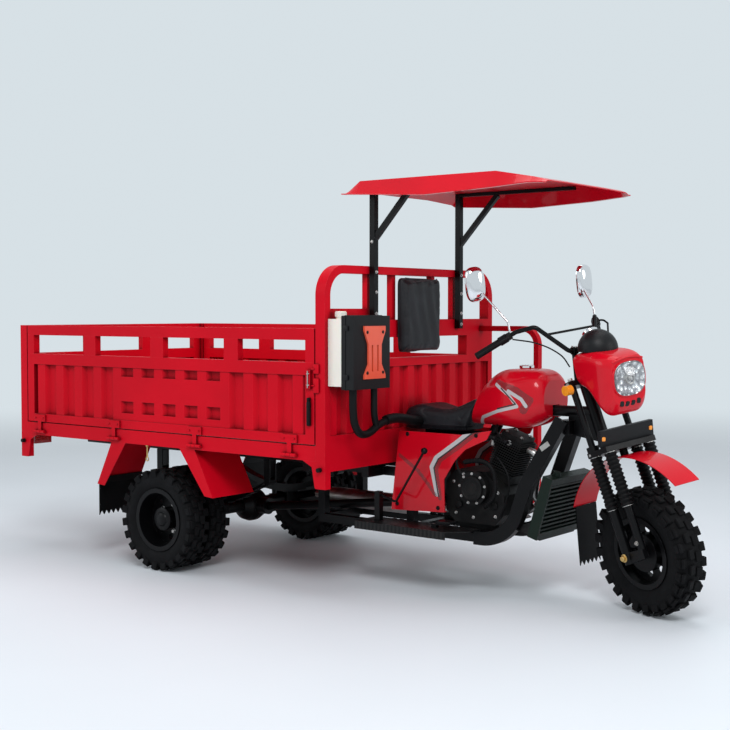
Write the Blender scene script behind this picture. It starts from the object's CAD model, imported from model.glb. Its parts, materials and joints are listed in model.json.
import json
import math

import bmesh
import bpy
from bpy.props import FloatProperty, FloatVectorProperty, IntProperty, PointerProperty
from mathutils import Matrix, Vector
from mathutils.bvhtree import BVHTree


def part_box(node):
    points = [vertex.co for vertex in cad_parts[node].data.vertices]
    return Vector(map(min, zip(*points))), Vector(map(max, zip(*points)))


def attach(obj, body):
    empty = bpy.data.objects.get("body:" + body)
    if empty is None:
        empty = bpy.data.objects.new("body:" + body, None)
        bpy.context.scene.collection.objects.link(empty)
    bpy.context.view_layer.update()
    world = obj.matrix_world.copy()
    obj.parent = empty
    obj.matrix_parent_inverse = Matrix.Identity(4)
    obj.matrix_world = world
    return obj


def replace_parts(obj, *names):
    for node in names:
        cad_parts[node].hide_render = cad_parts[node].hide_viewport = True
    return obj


bl_info = {
    "name": "Cargo Tricycle Finish",
    "version": (1, 0, 0),
    "blender": (4, 5, 0),
    "location": "View3D > Sidebar > Tricycle",
    "description": "Paint, tyres, soft goods and small parts for the cargo tricycle frame",
    "category": "Object",
}

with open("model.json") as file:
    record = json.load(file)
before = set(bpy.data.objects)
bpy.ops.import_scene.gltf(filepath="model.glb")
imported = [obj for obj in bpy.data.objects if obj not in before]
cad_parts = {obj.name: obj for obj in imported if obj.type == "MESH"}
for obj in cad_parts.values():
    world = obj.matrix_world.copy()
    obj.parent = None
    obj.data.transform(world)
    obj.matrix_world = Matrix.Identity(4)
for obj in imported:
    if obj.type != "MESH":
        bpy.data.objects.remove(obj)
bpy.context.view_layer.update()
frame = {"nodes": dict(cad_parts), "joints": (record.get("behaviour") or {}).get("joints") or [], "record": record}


# Sizes and colours

class PaintColours(bpy.types.PropertyGroup):
    red: FloatVectorProperty(name="Body red", description="Paint of the box, canopy and fenders",
                             subtype="COLOR", size=3, default=(0.64, 0.002, 0.014))
    black: FloatVectorProperty(name="Frame black", description="Paint of the frame, posts and axle",
                               subtype="COLOR", size=3, default=(0.0020, 0.0020, 0.0025))
    rubber: FloatVectorProperty(name="Rubber black", description="Tyres, gaiters, grips and mud flaps",
                                subtype="COLOR", size=3, default=(0.0030, 0.0030, 0.0035))
    silver: FloatVectorProperty(name="Stripe silver", description="Pale stripes on the tank and side panels",
                                subtype="COLOR", size=3, default=(0.50, 0.49, 0.50))
    charcoal: FloatVectorProperty(name="Stripe charcoal", description="Dark stripes on the tank and side panels",
                                  subtype="COLOR", size=3, default=(0.035, 0.033, 0.035))


class StageSizes(bpy.types.PropertyGroup):
    eye: FloatVectorProperty(name="Camera place", description="Where the camera stands",
                             subtype="XYZ", unit="LENGTH", size=3, default=(4.3266, -5.4748, 1.4262))
    gaze: FloatVectorProperty(name="Camera direction", description="Where the camera looks",
                              subtype="DIRECTION", size=3, default=(-0.6165, 0.7865, -0.0428))
    lens: FloatProperty(name="Lens", description="Focal length on a 36 mm sensor, in millimetres", default=62.44)
    floor_radius: FloatProperty(name="Floor radius", description="Radius of the round floor",
                                unit="LENGTH", default=60.0)
    fade_start: FloatProperty(name="Fade start", description="Where the floor begins to fade",
                              unit="LENGTH", default=4.5)
    fade_end: FloatProperty(name="Fade end", description="Where the floor is all backdrop",
                            unit="LENGTH", default=13.0)
    floor_colour: FloatVectorProperty(name="Floor", description="Pale floor",
                                      subtype="COLOR", size=3, default=(0.72, 0.78, 0.84))
    sky: FloatProperty(name="Sky light", description="Strength of the light from all round", default=0.40)
    wall_colour: FloatVectorProperty(name="Backdrop", description="Pale backdrop",
                                     subtype="COLOR", size=3, default=(0.68, 0.75, 0.79))


class TyreSizes(bpy.types.PropertyGroup):
    block_height: FloatProperty(name="Block height", description="Height of the tread blocks",
                                unit="LENGTH", default=0.013)
    front_blocks: IntProperty(name="Front blocks", description="Tread blocks round the front tyre", default=25)
    rear_blocks: IntProperty(name="Rear blocks", description="Tread blocks round a rear tyre", default=23)
    block_round: FloatProperty(name="Block edge", description="Rounding of the block edges",
                               unit="LENGTH", default=0.0022)
    turns: IntProperty(name="Steps", description="Steps of the revolved carcass", default=100)


class WheelSizes(bpy.types.PropertyGroup):
    nut_radius: FloatProperty(name="Wheel nut", description="Radius of a wheel nut", unit="LENGTH", default=0.010)
    rear_circle: FloatProperty(name="Rear nut circle", description="Radius of the rear wheel nuts' circle",
                               unit="LENGTH", default=0.077)
    rear_face: FloatProperty(name="Rear disc", description="Side distance of the rear discs' faces",
                             unit="LENGTH", default=0.6422)
    rear_hub_end: FloatProperty(name="Rear hub end", description="Side distance of the rear hubs' ends",
                                unit="LENGTH", default=0.707)
    nuts: IntProperty(name="Nuts", description="Wheel nuts on each rear disc", default=5)


class ForkSizes(bpy.types.PropertyGroup):
    parked: FloatProperty(name="Parked steer", description="Steering angle at rest",
                          subtype="ANGLE", default=math.radians(-22))
    leg_y: FloatProperty(name="Leg", description="Side distance of the fork legs", unit="LENGTH", default=0.130)
    spring_y: FloatProperty(name="Spring leg", description="Side distance of the spring legs",
                            unit="LENGTH", default=0.122)
    offset: FloatProperty(name="Offset", description="Fork legs ahead of the steering axis",
                          unit="LENGTH", default=0.055)
    spring_offset: FloatProperty(name="Spring offset", description="Spring legs ahead of the fork legs",
                                 unit="LENGTH", default=0.100)
    gaiter_low: FloatProperty(name="Gaiter foot", description="Lower end of the gaiters, up from the axle",
                              unit="LENGTH", default=0.2223)
    gaiter_high: FloatProperty(name="Gaiter top", description="Upper end of the gaiters, up from the axle",
                               unit="LENGTH", default=0.4837)
    axle: FloatVectorProperty(name="Straight axle", description="Front axle with the steering straight",
                              subtype="XYZ", unit="LENGTH", size=3, default=(1.7457, 0.0, 0.306))
    rake: FloatProperty(name="Rake", description="Lean of the steering axis",
                        subtype="ANGLE", default=math.radians(21))


class LampSizes(bpy.types.PropertyGroup):
    centre: FloatVectorProperty(name="Lens", description="Middle of the lens's back, steering straight",
                                subtype="XYZ", unit="LENGTH", size=3, default=(1.6968, 0.0, 1.1232))
    half_width: FloatProperty(name="Half width", description="Half the lens's width", unit="LENGTH", default=0.096)
    half_height: FloatProperty(name="Half height", description="Half the lens's height", unit="LENGTH", default=0.080)
    edge: FloatProperty(name="Edge", description="The lens's straight edge", unit="LENGTH", default=0.006)
    bulge: FloatProperty(name="Bulge", description="How far the lens bulges", unit="LENGTH", default=0.024)


class SeatSizes(bpy.types.PropertyGroup):
    voxel: FloatProperty(name="Voxel", description="Mesh size of the padding", unit="LENGTH", default=0.006)
    shrink: FloatProperty(name="Shrink", description="How far the padding starts inside its form",
                          unit="LENGTH", default=0.005)
    swell: FloatProperty(name="Swell", description="How far the padding may swell", unit="LENGTH", default=0.009)
    welt: FloatProperty(name="Welt", description="Radius of the sewn piping", unit="LENGTH", default=0.0028)


# Shader values and finishes

class Level:
    """A value in a finish. Sums on it add Math nodes."""

    def __init__(self, finish, socket):
        self.finish = finish
        self.socket = socket

    def math(self, operation, *values):
        return self.finish.add("ShaderNodeMath", {"operation": operation}, values)

    def __add__(self, other):
        return self.math("ADD", self, other)

    def __radd__(self, other):
        return self.math("ADD", other, self)

    def __sub__(self, other):
        return self.math("SUBTRACT", self, other)

    def __rsub__(self, other):
        return self.math("SUBTRACT", other, self)

    def __mul__(self, other):
        return self.math("MULTIPLY", self, other)

    def __rmul__(self, other):
        return self.math("MULTIPLY", other, self)

    def __truediv__(self, other):
        return self.math("DIVIDE", self, other)

    def __rtruediv__(self, other):
        return self.math("DIVIDE", other, self)

    def __gt__(self, other):
        return self.math("GREATER_THAN", self, other)

    def __lt__(self, other):
        return self.math("LESS_THAN", self, other)

    def lowest(self, other):
        return self.math("MINIMUM", self, other)

    def highest(self, other):
        return self.math("MAXIMUM", self, other)

    def root(self):
        return self.math("SQRT", self)

    def sine(self):
        return self.math("SINE", self)

    def eased(self, low, high):
        settings = {"interpolation_type": "SMOOTHSTEP"}
        return self.finish.add("ShaderNodeMapRange", settings, {"Value": self, "From Min": low, "From Max": high})


class Finish:
    """A named material, with one method that adds its nodes."""

    def __init__(self, name, colour, roughness, **constants):
        self.material = bpy.data.materials.new(name)
        self.material.use_nodes = True
        self.tree = self.material.node_tree
        self.shader = self.tree.nodes["Principled BSDF"]
        self.set("Base Color", tuple(colour) + (1.0,))
        self.set("Roughness", roughness)
        for key, value in constants.items():
            self.set(key.replace("_", " "), value)
        self.coordinates = self.add("ShaderNodeTexCoord", {}, {}, "Object")

    def add(self, kind, settings, values, output=0):
        node = self.tree.nodes.new(kind)
        for key, setting in settings.items():
            setattr(node, key, setting)
        pairs = values.items() if isinstance(values, dict) else enumerate(values)
        for key, value in pairs:
            self.feed(node.inputs[key], value)
        return Level(self, node.outputs[output])

    def feed(self, socket, value):
        if isinstance(value, Level):
            self.tree.links.new(value.socket, socket)
        else:
            socket.default_value = value

    def set(self, name, value):
        self.feed(self.shader.inputs[name], value)

    def axis(self, index):
        return self.add("ShaderNodeSeparateXYZ", {}, {"Vector": self.coordinates}, index)

    def noise(self, scale, detail, roughness=0.5):
        values = {"Vector": self.coordinates, "Scale": scale, "Detail": detail, "Roughness": roughness}
        return self.add("ShaderNodeTexNoise", {}, values, "Fac")

    def cells(self, scale, feature="F1"):
        values = {"Vector": self.coordinates, "Scale": scale}
        return self.add("ShaderNodeTexVoronoi", {"feature": feature}, values, "Distance")

    def mix(self, factor, low, high):
        low = low if isinstance(low, Level) else tuple(low) + (1.0,)
        high = high if isinstance(high, Level) else tuple(high) + (1.0,)
        return self.add("ShaderNodeMix", {"data_type": "RGBA"}, {0: factor, 6: low, 7: high}, 2)

    def tint(self, factor, low, high):
        """Colours the surface between two colours."""
        self.set("Base Color", self.mix(factor, low, high))

    def roughen(self, low, scale, span, detail=4.0):
        """Lets the roughness wander up from its lowest value."""
        self.set("Roughness", low + self.noise(scale, detail) * span)

    def softened(self, radius):
        """The surface's direction with its corners rounded."""
        return self.add("ShaderNodeBevel", {"samples": 4}, {"Radius": radius}, "Normal")

    def corners(self, radius):
        """1 on corners and 0 on flat faces."""
        plain = self.add("ShaderNodeNewGeometry", {}, {}, "Normal")
        pair = {0: self.softened(radius), 1: plain}
        agree = self.add("ShaderNodeVectorMath", {"operation": "DOT_PRODUCT"}, pair, "Value")
        return (1.0 - agree).eased(0.02, 0.20)

    def hollows(self, reach):
        """1 deep in corners and grooves and 0 on open faces."""
        values = {"Distance": reach, "Normal": self.add("ShaderNodeNewGeometry", {}, {}, "Normal")}
        open_share = self.add("ShaderNodeAmbientOcclusion", {"samples": 8}, values, "AO")
        return 1.0 - open_share.eased(0.35, 0.95)

    def bump(self, height, strength, distance, edge=0.0):
        values = {"Height": height, "Strength": strength, "Distance": distance}
        if edge:
            values["Normal"] = self.softened(edge)
        self.set("Normal", self.add("ShaderNodeBump", {}, values, "Normal"))


def stroke(x, z, points, half):
    """1 within a half width of a broken line in the side view, 0 elsewhere."""
    nearest = None
    for (x0, z0), (x1, z1) in zip(points, points[1:]):
        run_x, run_z = x1 - x0, z1 - z0
        along = ((x - x0) * run_x + (z - z0) * run_z) / (run_x ** 2 + run_z ** 2)
        share = along.highest(0.0).lowest(1.0)
        off_x = x - x0 - share * run_x
        off_z = z - z0 - share * run_z
        distance = (off_x * off_x + off_z * off_z).root()
        nearest = distance if nearest is None else nearest.lowest(distance)
    return nearest < half


finishes = {}


def red_paint(name="body_red", gloss=False):
    colours = bpy.context.scene.tricycle_paint
    if gloss:
        finish = Finish(name, colours.red, 0.30, Coat_Weight=0.38, Coat_Roughness=0.05, Specular_IOR_Level=0.1)
        finish.roughen(0.26, 9.0, 0.10, 3.0)
    else:
        finish = Finish(name, colours.red, 0.42, Coat_Weight=0.0, Specular_IOR_Level=0.08)
        finish.roughen(0.36, 9.0, 0.16, 3.0)
    cloud = finish.noise(2.2, 4.0)
    dark = [c * 0.84 for c in colours.red]
    pale = [0.10 + c * 1.05 for c in colours.red]
    shade = finish.mix(cloud.eased(0.25, 0.75), dark, colours.red)
    worn = finish.corners(0.002) * finish.noise(30.0, 4.0).eased(0.3, 0.6) * 0.5
    shade = finish.mix(worn, shade, pale)
    if not gloss:
        deep = [c * 0.30 for c in colours.red]
        shade = finish.mix(finish.hollows(0.09), shade, deep)
    finish.set("Base Color", shade)
    finish.bump(finish.noise(260.0, 2.0), 0.05, 0.001, 0.0 if gloss else 0.002)
    return finish


def gloss_red():
    return red_paint("moulded_red", True)


def black_paint():
    colours = bpy.context.scene.tricycle_paint
    finish = Finish("frame_black", colours.black, 0.35, Specular_IOR_Level=0.15)
    dusty = [0.0012 + c * 1.4 for c in colours.black]
    worn = finish.corners(0.0015) * finish.noise(40.0, 5.0).eased(0.45, 0.6) * 0.6
    shade = finish.mix(finish.noise(6.0, 6.0).eased(0.45, 0.8), colours.black, dusty)
    finish.tint(worn, shade, (0.10, 0.10, 0.11))
    finish.roughen(0.24, 14.0, 0.22)
    finish.bump(finish.noise(420.0, 3.0), 0.10, 0.001, 0.0015)
    return finish


def cast_black():
    finish = Finish("engine_casting", (0.005, 0.005, 0.006), 0.5, Specular_IOR_Level=0.16)
    finish.tint(finish.noise(12.0, 6.0).eased(0.4, 0.8), (0.004, 0.004, 0.0045), (0.012, 0.0115, 0.011))
    finish.roughen(0.42, 30.0, 0.25)
    finish.bump(finish.noise(700.0, 4.0, 0.7), 0.35, 0.001)
    return finish


def tyre_rubber():
    colours = bpy.context.scene.tricycle_paint
    finish = Finish("tyre_rubber", colours.rubber, 0.72, Specular_IOR_Level=0.12)
    dusty = [c * 2.3 for c in colours.rubber]
    finish.tint(finish.noise(11.0, 6.0, 0.65).eased(0.42, 0.8), colours.rubber, dusty)
    finish.roughen(0.62, 40.0, 0.22)
    finish.bump(finish.noise(900.0, 3.0), 0.25, 0.001)
    return finish


def soft_rubber():
    colours = bpy.context.scene.tricycle_paint
    finish = Finish("moulded_rubber", colours.rubber, 0.5, Specular_IOR_Level=0.14)
    finish.roughen(0.42, 25.0, 0.2)
    finish.bump(finish.noise(1100.0, 2.0), 0.15, 0.001)
    return finish


def black_plastic():
    finish = Finish("grained_plastic", (0.004, 0.0044, 0.0055), 0.45, Specular_IOR_Level=0.22)
    finish.roughen(0.36, 18.0, 0.18)
    finish.bump(finish.cells(900.0), 0.18, 0.0006)
    return finish


def steel():
    finish = Finish("plated_steel", (0.46, 0.45, 0.43), 0.34, Metallic=1.0)
    finish.tint(finish.noise(20.0, 5.0).eased(0.35, 0.8), (0.52, 0.51, 0.50), (0.34, 0.32, 0.29))
    finish.roughen(0.24, 30.0, 0.25)
    finish.bump(finish.noise(500.0, 2.0), 0.08, 0.0005)
    return finish


def chrome():
    finish = Finish("chrome", (0.80, 0.80, 0.81), 0.06, Metallic=1.0)
    finish.roughen(0.035, 12.0, 0.05)
    return finish


def vinyl():
    finish = Finish("seat_vinyl", (0.004, 0.0045, 0.0065), 0.42, Specular_IOR_Level=0.3)
    finish.tint(finish.noise(7.0, 4.0).eased(0.4, 0.8), (0.004, 0.0045, 0.0065), (0.009, 0.010, 0.014))
    finish.roughen(0.36, 22.0, 0.2)
    grain = finish.cells(520.0, "DISTANCE_TO_EDGE").eased(0.0, 0.12)
    finish.bump(grain, 0.30, 0.0006)
    return finish


def milk_plastic():
    finish = Finish("milk_plastic", (0.84, 0.80, 0.73), 0.36, Subsurface_Weight=0.15)
    finish.tint(finish.noise(5.0, 4.0), (0.88, 0.84, 0.78), (0.80, 0.75, 0.67))
    finish.bump(finish.noise(320.0, 2.0), 0.08, 0.0006)
    return finish


def orange_plastic():
    finish = Finish("orange_plastic", (0.83, 0.11, 0.05), 0.3, Coat_Weight=0.3, Coat_Roughness=0.1)
    finish.tint(finish.noise(8.0, 3.0), (0.86, 0.13, 0.06), (0.74, 0.08, 0.04))
    finish.bump(finish.noise(400.0, 2.0), 0.06, 0.0006)
    return finish


def amber_plastic():
    finish = Finish("amber_lens", (0.95, 0.33, 0.02), 0.18, Coat_Weight=0.6, Coat_Roughness=0.05)
    finish.tint(finish.noise(60.0, 3.0), (0.98, 0.40, 0.03), (0.86, 0.24, 0.01))
    finish.bump(finish.cells(150.0), 0.3, 0.002)
    return finish


def red_lens():
    finish = Finish("red_lens", (0.45, 0.006, 0.006), 0.15, Coat_Weight=0.6, Coat_Roughness=0.05)
    finish.tint(finish.noise(60.0, 3.0), (0.50, 0.008, 0.008), (0.36, 0.004, 0.004))
    finish.bump(finish.cells(150.0), 0.3, 0.002)
    return finish


def lamp_glass():
    finish = Finish("lamp_glass", (0.97, 0.98, 0.99), 0.03, Transmission_Weight=0.95, IOR=1.45, Coat_Weight=0.3)
    finish.bump((finish.axis(1) * 380.0).sine(), 0.03, 0.001)
    return finish


def reflector():
    finish = Finish("reflector_silver", (0.88, 0.89, 0.90), 0.10, Metallic=1.0)
    facets = finish.cells(46.0)
    finish.tint(facets.eased(0.25, 0.65), (0.98, 0.98, 0.98), (0.22, 0.22, 0.24))
    finish.set("Roughness", 0.06 + facets * 0.5)
    finish.bump(facets, 0.7, 0.006)
    return finish


def dial_glass():
    finish = Finish("dial_glass", (0.010, 0.012, 0.014), 0.05, Coat_Weight=0.8, Coat_Roughness=0.02)
    finish.roughen(0.04, 40.0, 0.06, 3.0)
    return finish


def brass():
    finish = Finish("brass", (0.62, 0.42, 0.16), 0.32, Metallic=1.0)
    finish.roughen(0.22, 60.0, 0.3)
    finish.bump(finish.noise(500.0, 2.0), 0.08, 0.0005)
    return finish


def radiator_green():
    finish = Finish("radiator_green", (0.002, 0.007, 0.0045), 0.42, Specular_IOR_Level=0.16)
    fins = (finish.axis(1) * 1500.0).sine()
    finish.tint(fins.eased(-0.4, 0.8), (0.002, 0.005, 0.0035), (0.006, 0.015, 0.010))
    finish.bump(fins, 0.3, 0.001, 0.001)
    return finish


def tread_plate():
    colours = bpy.context.scene.tricycle_paint
    finish = Finish("tread_plate", colours.black, 0.40, Specular_IOR_Level=0.22)
    x, y = finish.axis(0), finish.axis(1)
    lugs = ((x + y) * 130.0).sine() * ((x - y) * 130.0).sine()
    finish.tint(lugs.eased(0.35, 0.6), colours.black, (0.012, 0.0115, 0.0115))
    finish.roughen(0.30, 20.0, 0.3)
    finish.bump(lugs.eased(0.3, 0.6), 0.5, 0.002, 0.0015)
    return finish


makers = {"red_paint": red_paint, "black_frame": black_paint, "engine_black": cast_black, "tyre": tyre_rubber,
          "rubber": soft_rubber, "black_plastic": black_plastic, "bright_steel": steel, "chrome": chrome,
          "black_vinyl": vinyl, "white_plastic": milk_plastic, "orange_plastic": orange_plastic,
          "amber_plastic": amber_plastic, "red_lamp": red_lens, "lamp_glass": lamp_glass, "gloss_red": gloss_red,
          "reflector": reflector, "brass": brass, "dial_glass": dial_glass, "radiator_green": radiator_green,
          "tread_plate": tread_plate}


def finish_of(slot):
    if slot not in finishes:
        finishes[slot] = makers[slot]()
    return finishes[slot].material


# Mesh helpers

def round_steps(count, radius, start=0.0):
    """Places evenly round a circle, as (across, up) pairs."""
    turns = [2 * math.pi * (i + start) / count for i in range(count)]
    return [(radius * math.cos(turn), radius * math.sin(turn)) for turn in turns]


def added_since(shape, old):
    return [v for v in shape.verts if v not in old]


def edges_of(verts):
    return list({e for v in verts for e in v.link_edges})


def round_edges(shape, edges, offset, segments=1):
    """Bevels edges and returns the vertices of the bevels."""
    return bmesh.ops.bevel(shape, geom=edges, offset=offset, offset_type="OFFSET", segments=segments, profile=0.5,
                           affect="EDGES", material=-1)["verts"]


def skin(obj):
    """What rays on an object's surface are cast against."""
    return BVHTree.FromObject(obj, bpy.context.evaluated_depsgraph_get())


def landing(tree, start, way):
    """Where a ray lands on a skin, and which way the skin faces there."""
    hit, normal = tree.ray_cast(start, way)[:2]
    if hit is None:
        raise RuntimeError("a ray from %s missed its surface" % list(start))
    return hit, normal


def oval(place, half_width, half_height):
    """The scale that makes a round shape an upright oval in its place."""
    up = place.to_3x3().inverted() @ Vector((0, 0, 1))
    if abs(up.x) > abs(up.y):
        return Matrix.Diagonal((half_height, half_width, 1, 1))
    return Matrix.Diagonal((half_width, half_height, 1, 1))


def dress(node, material):
    """Gives a frame node a finished material."""
    mesh = frame["nodes"][node].data
    mesh.materials.clear()
    mesh.materials.append(material)


def add_piece(name, shape, body, slot, angle=34.0, finish=None):
    """Turns a bmesh into a finished piece that rides on a body.
    It takes the slot's own finish, or another one by name."""
    bmesh.ops.remove_doubles(shape, verts=shape.verts, dist=1e-6)
    bmesh.ops.recalc_face_normals(shape, faces=shape.faces)
    mesh = bpy.data.meshes.new(name)
    shape.to_mesh(mesh)
    shape.free()
    mesh.shade_smooth()
    mesh.set_sharp_from_angle(angle=math.radians(angle))
    mesh.materials.append(finish_of(finish or slot))
    obj = bpy.data.objects.new(name, mesh)
    bpy.context.scene.collection.objects.link(obj)
    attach(obj, body)
    return obj


def joint(name):
    return next(j for j in frame["joints"] if j["name"] == name)


def wheel_place(name):
    """The matrix that takes a wheel made about Y at the origin to its joint."""
    found = joint(name)
    side = Vector(found["axis"]).normalized()
    up = (Vector((0, 0, 1)) - side * side.z).normalized()
    ahead = side.cross(up)
    turn = Matrix((ahead, side, up)).transposed().to_4x4()
    return Matrix.Translation(Vector(found["pos_m"])) @ turn


def ring(shape, profile, steps):
    """Revolves (radius, side) points about Y and merges the seam."""
    verts = [shape.verts.new((r, y, 0)) for r, y in profile]
    edges = [shape.edges.new(pair) for pair in zip(verts, verts[1:] + verts[:1])]
    bmesh.ops.spin(shape, geom=verts + edges, cent=(0, 0, 0), axis=(0, 1, 0), dvec=(0, 0, 0),
                   angle=2 * math.pi, steps=steps, use_merge=True)


def block(shape, size, place, tilt, round_edge):
    """One rounded tread block, its length round the tyre and its height outwards."""
    made = bmesh.ops.create_cube(shape, size=1.0)["verts"]
    bmesh.ops.scale(shape, vec=size, verts=made)
    made = round_edges(shape, edges_of(made), round_edge)
    matrix = Matrix.Translation(place) @ Matrix.Rotation(tilt, 4, "Z")
    bmesh.ops.transform(shape, matrix=matrix, verts=made)
    return made


def repeat_round(shape, verts, count, start):
    """Copies a block round the wheel's axle."""
    geometry = verts + edges_of(verts) + list({f for v in verts for f in v.link_faces})
    bmesh.ops.rotate(shape, verts=verts, cent=(0, 0, 0), matrix=Matrix.Rotation(start, 3, "Y"))
    bmesh.ops.spin(shape, geom=geometry, cent=(0, 0, 0), axis=(0, 1, 0), dvec=(0, 0, 0),
                   angle=2 * math.pi * (count - 1) / count, steps=count - 1, use_duplicate=True)


def carcass_profile(radius, width, bead_radius, crown):
    """Half sections of the tyre from bead to bead, as (radius, side) points."""
    high = radius - bead_radius
    half = width / 2
    side = ((0.00, 0.74), (0.08, 0.84), (0.25, 0.95), (0.45, 1.00), (0.62, 0.985), (0.80, 0.93), (0.90, 0.86),
            (0.955, 0.70), (0.985, 0.42))
    outer = [(bead_radius + high * h - crown * max(h - 0.45, 0) * w * w * 1.3, half * w) for h, w in side]
    outer.append((radius, 0.0))
    outer += [(r, -y) for r, y in reversed(outer[:-1])]
    inner = [(bead_radius - 0.010, -half * 0.70), (bead_radius - 0.010, half * 0.70)]
    return outer + inner


# Out from the middle, across, along, drop and shift of each row of blocks
tread_rows = ((0.145, 0.225, 0.60, 0.001, 0.5), (0.385, 0.235, 0.56, 0.005, 0.0))


def knobbly_tyre(shape, radius, width, bead_radius, blocks, crown=0.0):
    """A carcass with staggered centre blocks and shoulder blocks that turn down its sides.
    The crown is how far the tread falls away from its middle to its shoulders."""
    sizes = bpy.context.scene.tricycle_tyres
    lift = sizes.block_height
    floor = radius - lift
    pitch = 2 * math.pi * radius / blocks
    step = 2 * math.pi / blocks
    for side, stagger in ((-1, 0.0), (1, 0.25)):
        for out, across, along, drop, shift in tread_rows:
            fall = drop + crown * (out * 2) ** 2
            tilt = math.radians(4 + 1560 * drop) + math.atan(crown * 4 * out / width)
            centre = Vector((floor + lift / 2 - fall, side * width * out, 0))
            made = block(shape, (lift, width * across, pitch * along), centre, -side * tilt, sizes.block_round)
            repeat_round(shape, made, blocks, (shift + stagger) * step)
        centre = Vector((floor - lift * 0.95 - crown, side * width * 0.475, 0))
        made = block(shape, (lift * 2.7, lift * 0.9, pitch * 0.50), centre, side * math.radians(14), sizes.block_round)
        repeat_round(shape, made, blocks, stagger * step)
    ring(shape, carcass_profile(floor, width * 0.955, bead_radius, crown), sizes.turns)


def facing(place, axis):
    """The matrix that takes a piece made upright at the origin to a place, its top along an axis."""
    turn = Vector(axis).to_track_quat("Z", "Y").to_matrix().to_4x4()
    return Matrix.Translation(Vector(place)) @ turn


def turned(shape, profile, matrix, steps=32, power=2.0):
    """Revolves (radius, height) points about Z and puts the result in its place.
    The shell is closed towards the axis, or as a ring. A power above 2 squares the round off."""
    old = set(shape.verts)
    (first_r, first_z), (last_r, last_z) = profile[0], profile[-1]
    if first_r > 0 and last_r > 0:
        profile = list(profile) if profile[0] == profile[-1] else list(profile) + [profile[0]]
    elif first_r > 0:
        profile = [(0, first_z)] + list(profile)
    elif last_r > 0:
        profile = list(profile) + [(0, last_z)]
    verts = [shape.verts.new((r, 0, z)) for r, z in profile]
    edges = [shape.edges.new(pair) for pair in zip(verts, verts[1:])]
    bmesh.ops.spin(shape, geom=verts + edges, cent=(0, 0, 0), axis=(0, 0, 1), dvec=(0, 0, 0),
                   angle=2 * math.pi, steps=steps, use_merge=True)
    made = added_since(shape, old)
    for vert in made:
        reach = math.hypot(vert.co.x, vert.co.y)
        if power > 2.0 and reach > 1e-7:
            cosine, sine = abs(vert.co.x) / reach, abs(vert.co.y) / reach
            stretch = (cosine ** power + sine ** power) ** (-1 / power)
            vert.co.x *= stretch
            vert.co.y *= stretch
    bmesh.ops.transform(shape, matrix=matrix, verts=made)


def ribbed(name, points, radius, body, slot, pitch=0.009):
    """A corrugated hose: a smooth tube with a ring at each rib."""
    hose = tube(name, points, radius * 0.86, body, slot)
    shape = bmesh.new()
    shape.from_mesh(hose.data)
    line = smooth_line(points, 16)
    travelled = 0.0
    for first, second in zip(line, line[1:]):
        travelled += (second - first).length
        if travelled >= pitch:
            travelled = 0.0
            torus(shape, radius * 0.84, radius * 0.20, facing(second, second - first), 20, 6)
    bmesh.ops.remove_doubles(shape, verts=shape.verts, dist=1e-6)
    bmesh.ops.recalc_face_normals(shape, faces=shape.faces)
    shape.to_mesh(hose.data)
    shape.free()
    hose.data.shade_smooth()
    return hose


def smooth_line(points, parts):
    """Points along the quadratic B-spline that a tube follows."""
    knots = [Vector(p) for p in points]
    made = [knots[0]]
    for i in range(1, len(knots) - 1):
        start = knots[0] if i == 1 else (knots[i - 1] + knots[i]) / 2
        end = knots[-1] if i == len(knots) - 2 else (knots[i] + knots[i + 1]) / 2
        for step in range(1, parts + 1):
            t = step / parts
            made.append(start * (1 - t) ** 2 + knots[i] * 2 * t * (1 - t) + end * t * t)
    return made


def hex_bolt(shape, place, axis, radius):
    """A hexagon head with rounded edges on its washer."""
    old = set(shape.verts)
    made = bmesh.ops.create_cone(shape, cap_ends=True, cap_tris=False, segments=6, radius1=radius, radius2=radius,
                                 depth=radius)["verts"]
    round_edges(shape, edges_of(made), radius * 0.12)
    foot = facing(place, axis)
    bmesh.ops.transform(shape, matrix=foot @ Matrix.Translation((0, 0, radius * 0.65)), verts=added_since(shape, old))
    washer = ((0, 0), (1.4, 0), (1.4, 0.16), (1.3, 0.22), (0, 0.22))
    turned(shape, [(radius * r, radius * z) for r, z in washer], foot, 20)


def rounded_block(shape, size, place, edge, segments=2):
    """A block with rounded edges about its middle."""
    made = bmesh.ops.create_cube(shape, size=1.0)["verts"]
    bmesh.ops.scale(shape, vec=size, verts=made)
    bmesh.ops.translate(shape, vec=place, verts=made)
    round_edges(shape, edges_of(made), edge, segments)


def torus(shape, major, minor, matrix, steps=36, around=10, flat=1.0):
    """A ring, round or oval, with a round section."""
    section = [(major + across, up) for across, up in round_steps(around, minor)]
    turned(shape, section + section[:1], matrix @ Matrix.Diagonal((1, flat, 1, 1)), steps)


def tube(name, points, radius, body, slot, closed=False, finish=None):
    """A smooth round bar through points, finished as a mesh."""
    data = bpy.data.curves.new(name, "CURVE")
    data.dimensions = "3D"
    spline = data.splines.new("NURBS")
    spline.points.add(len(points) - 1)
    for at, point in zip(spline.points, points):
        at.co = tuple(point) + (1.0,)
    spline.order_u = 3
    spline.use_endpoint_u = not closed
    spline.use_cyclic_u = closed
    data.bevel_depth = radius
    data.bevel_resolution = 3
    data.use_fill_caps = True
    holder = bpy.data.objects.new(name + "_line", data)
    bpy.context.scene.collection.objects.link(holder)
    seen = holder.evaluated_get(bpy.context.evaluated_depsgraph_get())
    shape = bmesh.new()
    made = bpy.data.meshes.new_from_object(seen)
    shape.from_mesh(made)
    bpy.data.objects.remove(holder)
    return add_piece(name, shape, body, slot, 50.0, finish)


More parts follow.
